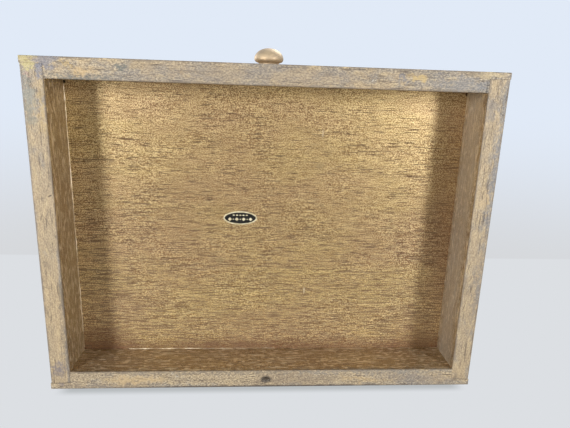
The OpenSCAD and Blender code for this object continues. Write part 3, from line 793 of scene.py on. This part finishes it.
painted_board(
    "right_side_board", "case", case_ease, "Y", (0.77, 0.45, 0.0),
    (
        0.06, (0.35, ("X", case_half_x - 0.0030, case_half_x - 0.0012)),
        (0.38, ("X", 0.1085, 0.1115), ("Y", 0.05, -0.01)),
    ),
    stains_and_painted_shade([
        ((108, -64), (3, 6), (120, 116, 114), 0.5),
        ((113.5, -30), (1.6, 30), (112, 114, 120), 0.5),
        ((113, 35), (1.6, 24), (118, 112, 108), 0.45),
        ((105.2, 0, 13), (6, 200, 10), (184, 176, 162), 0.6),
    ], [
        ((109.3, -19.8), (2.6, 0.24), (96, 84, 70), 0.7, 1.63),
        ((107.8, -9.2), (2.7, 0.24), (96, 84, 70), 0.7, 1.54),
        ((107, 19.6), (2.9, 0.26), (92, 80, 66), 0.7, 1.82),
        ((108.8, 26), (2, 0.24), (92, 80, 66), 0.6, 1.75),
        ((107.2, 42.2), (3.6, 0.24), (104, 90, 72), 0.7, 1.76),
    ]), sand=0.35,
)
painted_board(
    "front_rail", "case", case_ease, "X", (0.13, 0.61, 0.0), (0.42, (0.25, ("X", 0.04, 0.09))),
    stains_and_painted_shade([
        ((-112.5, -79), (4, 2.5), (180, 168, 120), 0.8),
        ((-104, -77.5), (5.5, 2.6), (116, 118, 130), 0.6),
        ((-70.1, -77), (3.2, 1.5), (92, 98, 92), 0.7),
        ((-88, -71.4), (15, 1.1), (98, 100, 96), 0.7),
        ((-88, -74.5), (4, 1.4), (192, 164, 118), 0.5),
        ((-94, -77.8), (2.5, 1), (186, 160, 108), 0.5),
        ((70, -76.5), (5, 2.4), (184, 160, 110), 0.8),
        ((62, -76.5), (1.8, 1.6), (110, 112, 120), 0.6),
        ((93, -74.5), (15, 3), (124, 124, 126), 0.5),
        ((106, -79), (6, 1.4), (176, 162, 128), 0.5),
        ((107.5, -77), (0.8, 0.8), (50, 44, 40), 0.8),
        ((-10, -75.5), (60, 5), (138, 128, 118), 0.35),
        ((48.9, -76.1), (0.7, 0.6), (214, 206, 190), 0.8),
    ]), sand=0.6,
)
painted_board("upper_front_board", "case", case_ease, "X", (0.52, 0.29, 0.0))
painted_board(
    "back_board", "case", case_ease, "X", (0.93, 0.08, 0.0),
    (
        0.05, (0.25, ("X", 0.05, 0.1)), (0.15, ("Y", back_low.y + 0.003, back_low.y + 0.0012)),
        (0.35, ("Y", back_high.y - 0.004, back_high.y - 0.0012)),
    ),
    stains_and_painted_shade([
        ((-110, 84.5), (2.8, 4), (110, 104, 114), 0.6),
        ((-30, 81.5), (70, 1), (112, 104, 94), 0.5),
        ((75, 85), (20, 2), (120, 114, 110), 0.4),
        ((15, 86.4), (23, 3.6), (132, 116, 98), 0.5),
        ((90, 87), (20, 3.2), (134, 122, 110), 0.5),
        ((60, 81.6), (50, 1.2), (128, 122, 114), 0.6),
        ((-85, 88.8), (25, 1.2), (122, 110, 98), 0.5),
        ((-49.6, 82.2), (0.5, 0.4), (206, 196, 178), 0.7),
        ((0, 80.7, 12), (160, 6, 11), (196, 176, 150), 0.22),
        ((-70, 85.8), (16, 2.2), (190, 164, 122), 0.5),
        ((52, 86.2), (11, 1.8), (186, 160, 118), 0.45),
    ], [
        # Painted shade along the rim's outer edge, where the back board lies against the table, then a dark
        # spot in the knock's hollow
        ((-3, 90.9), (88, 1.1, 2.4), (78, 70, 64), 0.85),
        ((0, 86.3), (2.9, 2), (58, 52, 48), 0.85),
    ]), sand=0.75,
)


# ---- Brads --------------------
# Small steel nails driven through the front and back boards into the side boards' ends.
# They were painted over with the case, and show as dull dimples.
brad_paint, tree, shader = new_material("brad_paint", {"Metallic": 0.6})
rust = mottle(tree, object_point(tree), (1300, 1300, 1300), 4.0)
colour = tint(tree, fade(tree, rust, 0.4, 0.65), shade(150, 118, 76), shade(92, 72, 54))
lay_on(tree, shader, colour, share(tree, rust, 0.4, 0.3), share(tree, rust, 0.1), 0.6)
finish_node("case_brads", brad_paint)
finish_node("lid_brads", brad_paint)


# ---- Divider, drawer stop and lining --------------------
# A bare plywood floor between the compartment and the drawer, with a block screwed under it
# that stops the drawer. Dark green wool felt is glued down over it.
bare_grain, given, made = new_group(
    "bare_grain", {"Grain": "Vector", "Dark": "Color", "Light": "Color"},
    {"Colour": "Color", "Roughness": "Float", "Height": "Float"},
)
tree = bare_grain
rings = mottle(tree, given["Grain"], (4, 210, 210), 3.0, 0.55)
fibres = mottle(tree, given["Grain"], (60, 1600, 1600), 3.0, 0.6)
wood = tint(tree, fade(tree, rings, 0.36, 0.64), given["Light"], given["Dark"])
wood = tint(tree, share(tree, fade(tree, fibres, 0.5, 0.72), 0.4), wood, given["Dark"])
soiled = fade(tree, mottle(tree, given["Grain"], (18, 22, 22), 4.0, 0.6), 0.52, 0.75)
feed(tree, made, {
    "Colour": layered(tree, wood, (soiled, 0.3, (140, 112, 82))),
    "Roughness": share(tree, fibres, 0.2, 0.55),
    "Height": share(tree, fibres, -0.12, share(tree, rings, 0.06)),
})


def bare_wood(name, way, shift):
    """Planed wood with close rings and fine fibres, a little soiled by hands."""
    material, tree, shader = new_material(name)
    dark, light = shade(174, 138, 98), shade(210, 180, 138)
    bare = grouped(tree, bare_grain, {"Grain": grain_point(tree, way, shift), "Dark": dark, "Light": light})
    lay_on(tree, shader, bare["Colour"], bare["Roughness"], bare["Height"], 0.6)
    return material


def bare_ply(name, shift):
    """Unpainted luan plywood: the same open grain as the painted panel, brown in its pores."""
    material, tree, shader = new_material(name)
    grain = grouped(tree, open_grain, {"Grain": grain_point(tree, "X", shift)})
    wood = layered(
        tree, tint(tree, grain["Blotches"], shade(184, 148, 112), shade(200, 168, 130)),
        (grain["Streaks"], 0.4, (160, 122, 88)), (grain["Pores"], 0.7, (102, 72, 48)),
    )
    roughness = share(tree, grain["Tooth"], 0.2, 0.52)
    lay_on(tree, shader, wood, roughness, share(tree, grain["Pores"], -0.15), 0.6)
    return material


def steady(width):
    """The same rounding on every edge."""
    return lambda middle, along: width


def eased_copy(node, body, material, width=0.0003, shortest=0.0018, segments=2):
    """A machined or sawn part, copied from its node, with every edge a little rounded."""
    piece = joined_copy(node, node + "_eased")
    eased(piece, steady(width), "X", 1.0, segments, shortest)
    fit(piece, node, body, material)
    return piece


finish_node("divider_panel", bare_ply("divider_ply", (0.4, 0.2, 0.0)))
eased_copy("drawer_stop", "case", bare_wood("stop_wood", "X", (0.2, 0.0, 0.3)), 0.0004)

felt_green, tree, shader = new_material(
    "felt_green", {"Roughness": 0.95, "Sheen Weight": 0.5, "Sheen Roughness": 0.6},
)
here = object_point(tree)
wool = mottle(tree, here, (2600, 2600, 2600), 4.0, 0.65)
matted = fade(tree, mottle(tree, here, (120, 90, 90), 4.0, 0.6), 0.45, 0.7)
colour = tint(tree, fade(tree, wool, 0.3, 0.7), shade(30, 52, 40), shade(66, 94, 74))
colour = layered(tree, colour, (matted, 0.35, (84, 106, 84)))
lay_on(tree, shader, colour, height=share(tree, wool, 0.25), strength=0.8)


felt_fold, felt_edge = math.radians(60), 0.00035


def felt_slab(node, body, face_up, pitch=0.006, swell=0.00012):
    """Felt glued to a flat board: its face is a little uneven, and its cut edges are soft."""
    low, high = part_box(node)
    bpy.ops.object.select_all(action="DESELECT")
    bpy.ops.mesh.primitive_cube_add(size=1, location=(low + high) / 2)
    slab = bpy.context.object
    slab.name = node + "_felt"
    slab.scale = high - low
    bpy.ops.object.transform_apply(location=True, rotation=True, scale=True)
    open_up(slab)
    for axis in (0, 1):
        cut_across(axis, low[axis], high[axis], round((high[axis] - low[axis]) / pitch))
    bpy.ops.object.mode_set(mode="OBJECT")
    face_z = high.z if face_up else low.z
    inward = -1 if face_up else 1
    for vertex in slab.data.vertices:
        if abs(vertex.co.z - face_z) < 1e-6:
            vertex.co.z += inward * swell * (0.5 + 0.5 * noise.noise(vertex.co * 70))
    apply_modifier(slab, "BEVEL", width=felt_edge, limit_method="ANGLE", angle_limit=felt_fold, segments=2)
    bpy.ops.object.shade_smooth_by_angle(angle=felt_fold)
    fit(slab, node, body, felt_green)


felt_slab("compartment_lining", "case", True)


# ---- Screws --------------------
# Slotted countersunk wood screws, brass on the hinges and the catch, and steel in the drawer stop.
# Each head sits flush, with its slot turned its own way.
def turned(name, profile, steps=48):
    """A shape turned on a lathe about Z. profile lists (radius, height), from one end to the other."""
    mesh = bpy.data.meshes.new(name)
    mesh.from_pydata([(r, 0, h) for r, h in profile], [(i, i + 1) for i in range(len(profile) - 1)], [])
    piece = bpy.data.objects.new(name, mesh)
    bpy.context.scene.collection.objects.link(piece)
    open_up(piece)
    bpy.ops.mesh.spin(steps=steps, angle=2 * math.pi, center=(0, 0, 0), axis=(0, 0, 1))
    bpy.ops.mesh.select_all(action="SELECT")
    bpy.ops.mesh.remove_doubles(threshold=2e-6)
    bpy.ops.mesh.normals_make_consistent(inside=False)
    bpy.ops.object.mode_set(mode="OBJECT")
    bpy.ops.object.shade_smooth_by_angle(angle=crease)
    return piece


def metal(name, dull, bright, roughness=0.28, scale=420, values=None):
    """Handled metal: bright where it is rubbed, dull and rougher in patches, with fine scratches."""
    material, tree, shader = new_material(name, {"Metallic": 1.0, **(values or {})})
    here = object_point(tree)
    tarnish = fade(tree, mottle(tree, here, (scale,) * 3, 5.0, 0.62), 0.38, 0.68)
    scratches = mottle(tree, here, (600, 3000, 5200), 2.0)
    colour = tint(tree, tarnish, shade(*bright), shade(*dull))
    lay_on(tree, shader, colour, share(tree, tarnish, 0.2, roughness), share(tree, scratches, 0.04), 0.25)
    return material


def set_at(piece, place, degrees, axis):
    """Turns a piece that was made at the origin about an axis, and moves it to its place."""
    piece.data.transform(Matrix.Translation(place) @ Matrix.Rotation(math.radians(degrees), 4, axis))


def middle_of(node):
    """The middle of a node's box."""
    low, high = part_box(node)
    return (low + high) / 2


screw_head_r, screw_head_h, screw_shank_r = 0.0016, 0.0007, 0.0009
head_edge, thread_root = 0.00008, 0.86
slot_size = (0.0038, 0.00038, 0.0007)


def threaded(start, pitch, turns, radius, root, crest):
    """The lathe profile of a thread: from its root to its crest and back, turn by turn."""
    feet = [start + pitch * k for k in range(turns)]
    return [point for foot in feet for point in ((radius * root, foot), (radius, foot + crest))]


def slotted_screws(name, node, body, material, length, places):
    """places lists (head's centre, direction of the point, turn of the slot)."""
    screws = []
    for i, (place, way, turn) in enumerate(places):
        screw = turned(
            f"{name}_{i}",
            [
                (0, 0), (screw_head_r - head_edge, 0), (screw_head_r, head_edge),
                (screw_shank_r, screw_head_h), (screw_shank_r, length * 0.27),
                *threaded(length * 0.3, length * 0.1, 6, screw_shank_r, thread_root, length * 0.04),
                (screw_shank_r * thread_root, length * 0.93), (screw_shank_r * 0.3, length), (0, length),
            ],
            32,
        )
        bpy.ops.mesh.primitive_cube_add(size=1)
        cutter = bpy.context.object
        cutter.data.transform(Matrix.Diagonal((*slot_size, 1)))
        cut_out(screw, cutter)
        aim = Vector(way).to_track_quat("Z", "Y").to_matrix().to_4x4()
        screw.data.transform(Matrix.Translation(place) @ aim @ Matrix.Rotation(turn, 4, "Z"))
        screws.append(screw)
    fit(joined(screws, name), node, body, material)


brass = metal("brass", (150, 112, 62), (214, 176, 108))
steel = metal("steel", (120, 118, 116), (186, 186, 188))
stop_low, stop_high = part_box("stop_screw")
stop_top = (*middle_of("stop_screw").xy, stop_high.z)
slotted_screws(
    "stop_wood_screw", "stop_screw", "case", steel, stop_high.z - stop_low.z,
    [(stop_top, (0, 0, -1), 0.6)],
)


# ---- Drawer --------------------
# A front that passes for one more board of the case, on bare wooden sides and back.
# A plywood bottom sits in grooves round the inside, and green felt is glued to it.
drawer_face_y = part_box("drawer_front")[0].y


def drawer_front_ease(middle, along):
    """The shown edges are worn like the case's. The rest are only broken with sandpaper."""
    if middle.y > drawer_face_y + on_face:
        return 0.00025
    if abs(along.z) > 0.9:
        return 0.0006
    return handled(middle, 0.0002, 0.0006)


painted_board("drawer_front", "drawer", drawer_front_ease, "X", (0.21, 0.83, 0.0))
eased_copy("drawer_left_side", "drawer", bare_wood("drawer_left_wood", "Y", (0.1, 0.6, 0.0)))
eased_copy("drawer_right_side", "drawer", bare_wood("drawer_right_wood", "Y", (0.5, 0.3, 0.0)))
eased_copy("drawer_back", "drawer", bare_wood("drawer_back_wood", "X", (0.7, 0.1, 0.0)))
finish_node("drawer_bottom", bare_ply("drawer_ply", (0.8, 0.5, 0.0)))
finish_node("drawer_brads", steel)
felt_slab("drawer_lining", "drawer", True)


# ---- Knob and lock --------------------
# A turned brass knob, lacquered to a pale champagne gold, on a steel spindle through the drawer front.
# Behind the front a brass cam is held on the threaded end by a nut, and two pins stop its arm.
knob_low, knob_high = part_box("knob")
knob_foot = (middle_of("knob").x, knob_high.y, middle_of("knob").z)
knob_radius = (knob_high.x - knob_low.x) / 2
knob_tall = knob_high.y - knob_low.y
neck_radius, neck_top, dome_foot = 0.0054, 0.0020, 0.0040
dome_out, dome_up = 0.96, 1.04
dome = [
    (
        knob_radius * math.cos(math.radians(a)) ** dome_out,
        dome_foot + (knob_tall - dome_foot) * math.sin(math.radians(a)) ** dome_up,
    )
    for a in range(0, 90, 5)
]
knob_piece = turned(
    "knob_dome",
    [
        (0, 0), (neck_radius - 0.0002, 0), (neck_radius, 0.0002), (neck_radius, neck_top - 0.0004),
        (neck_radius + 0.0003, neck_top), (knob_radius * 0.80, neck_top + 0.0002),
        (knob_radius * 0.91, neck_top + 0.0006), (knob_radius * 0.98, neck_top + 0.0013),
        *dome, (0, knob_tall),
    ],
    72,
)
set_at(knob_piece, knob_foot, 90, "X")
knob_gold = metal("knob_gold", (176, 158, 136), (196, 174, 142), 0.54, 160, {"Metallic": 0.7})
fit(knob_piece, "knob", "knob", knob_gold)

spindle_low, spindle_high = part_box("knob_spindle")
spindle_r = (spindle_high.x - spindle_low.x) / 2
spindle_long = spindle_high.y - spindle_low.y
thread_foot, thread_start, thread_pitch = spindle_long - 0.008, spindle_long - 0.0077, 0.0005
spindle = turned(
    "spindle_rod",
    [
        (0, 0), (spindle_r, 0), (spindle_r, thread_foot),
        *threaded(thread_start, thread_pitch, 14, spindle_r, 0.9, thread_pitch / 2),
        (spindle_r * 0.9, spindle_long - 0.0006), (spindle_r * 0.8, spindle_long), (0, spindle_long),
    ],
)
set_at(spindle, (knob_foot[0], spindle_low.y, knob_foot[2]), -90, "X")
fit(spindle, "knob_spindle", "knob", steel)
eased_copy("lock_cam", "knob", brass, 0.0002, 0.0003)
eased_copy("cam_nut", "knob", steel, 0.0003, 0.001)

pin_low, pin_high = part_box("cam_stop_pins")
pin_r, pin_long = 0.001, pin_high.y - pin_low.y
pin_profile = [
    (0, 0), (pin_r, 0), (pin_r, pin_long - 0.0004), (pin_r * 0.85, pin_long - 0.0001),
    (pin_r * 0.5, pin_long), (0, pin_long),
]
pins = []
for x, z in ((pin_high.x - pin_r, pin_low.z + pin_r), (pin_low.x + pin_r, pin_high.z - pin_r)):
    pins.append(turned("stop_pin", pin_profile, 24))
    set_at(pins[-1], (x, pin_low.y, z), -90, "X")
fit(joined(pins, "cam_stop_pin_pair"), "cam_stop_pins", "drawer", brass)


# ---- Hinges --------------------
# Two small stamped brass butt hinges between the back board and the lid, with steel pins.
# Four screws hold each, and the leaves lie along the seam.
eased_copy("hinge_case_leaves", "case", brass, 0.00012, 0.0009)
eased_copy("hinge_lid_leaves", "lid", brass, 0.00012, 0.0009)
finish_node("hinge_pins", steel)
leaf_screws_apart = 0.020
for node, body, way, turns in (
    ("hinge_case_screws", "case", (0, 0, -1), (0.4, 1.2, 2.3, 0.1)),
    ("hinge_lid_screws", "lid", (0, 0, 1), (1.0, 0.3, 1.7, 2.6)),
):
    low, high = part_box(node)
    far, near = high.x - screw_head_r, high.x - screw_head_r - leaf_screws_apart
    seam_z = high.z if way[2] < 0 else low.z
    slotted_screws(
        node + "_slotted", node, body, brass, high.z - low.z,
        [((x, (low.y + high.y) / 2, seam_z), way, turn) for x, turn in zip((-far, -near, near, far), turns)],
    )


# ---- Lid --------------------
# Four rails lapped and nailed like the case, round a gold-painted plywood panel in grooves.
# Felt lines the underside, and a brass catch plate for the key's peg hangs from the right rail.
lid_front_y, lid_back_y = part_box("lid_front_rail")[0].y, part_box("lid_back_rail")[1].y
lid_top_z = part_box("lid_front_rail")[1].z


def lid_ease(middle, along):
    """The lid's corners and top edges are the most worn, and its joints the least."""
    front, back = middle.y < lid_front_y + on_face, middle.y > lid_back_y - on_face
    if abs(along.z) > 0.9:
        return 0.0010 if (front or back) and abs(middle.x) > case_half_x else 0.00018
    if middle.z > lid_top_z - on_face:
        if front or back or abs(middle.x) > case_half_x - on_face:
            return handled(middle, 0.0004, 0.0010)
        return 0.0004
    return 0.0002


for node, way, shift in (
    ("lid_front_rail", "X", (0.35, 0.72, 0.0)), ("lid_back_rail", "X", (0.66, 0.18, 0.0)),
    ("lid_left_rail", "Y", (0.15, 0.55, 0.0)), ("lid_right_rail", "Y", (0.45, 0.95, 0.0)),
):
    painted_board(node, "lid", lid_ease, way, shift)

lid_gold, tree, shader = new_material("lid_gold")
painted = grouped(tree, gold_coat, {"Grain": grain_point(tree, "X", (0.3, 0.9, 0.1))})
lay_on(
    tree, shader, painted["Colour"], painted["Roughness"], painted["Height"], metallic=painted["Metallic"],
)
finish_node("lid_panel", lid_gold)
felt_slab("lid_lining", "lid", False)
eased_copy("lid_catch", "lid", brass, 0.0002, 0.0012)
low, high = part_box("catch_screws")
slotted_screws(
    "catch_slotted_screws", "catch_screws", "lid", brass, high.x - low.x,
    [
        ((low.x, y, middle_of("catch_screws").z), (1, 0, 0), turn)
        for y, turn in ((low.y + screw_head_r, 0.5), (high.y - screw_head_r, 1.9))
    ],
)


# ---- Sliding key --------------------
# A wooden lath that slides in a T groove in the right side board, and looks like part of it.
# It has a scooped thumb hold, and a brass peg that reaches through to the lid's catch.
key_low, key_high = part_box("key_lath")
thumb_from_front, thumb_reach = 0.016, (0.004, 0.0055, 0.0045)


def key_marks(tree, here, colour):
    """The thumb hold is rubbed back to bare wood."""
    hold = (key_high.x, key_low.y + thumb_from_front, middle_of("key_lath").z)
    thumb = spot(tree, here, hold, thumb_reach, 0.5)
    bare = tint(tree, mottle(tree, here, (500, 90, 500), 3.0), shade(176, 140, 96), shade(206, 170, 122))
    return tint(tree, share(tree, thumb, 0.75), colour, bare)


def key_ease(middle, along):
    return handled(middle, 0.0002, 0.0005)


painted_board("key_lath", "key", key_ease, "Y", (0.62, 0.33, 0.0), marks=key_marks)
peg_low, peg_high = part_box("key_peg")
peg_r = (peg_high.y - peg_low.y) / 2
peg_long = peg_high.x - peg_low.x
peg = turned(
    "key_peg_turned",
    [(0, 0), (peg_r * 0.6, 0), (peg_r * 0.9, 0.0002), (peg_r, 0.0006), (peg_r, peg_long), (0, peg_long)],
    32,
)
set_at(peg, (peg_low.x, *middle_of("key_peg").yz), 90, "Y")
fit(peg, "key_peg", "key", brass)
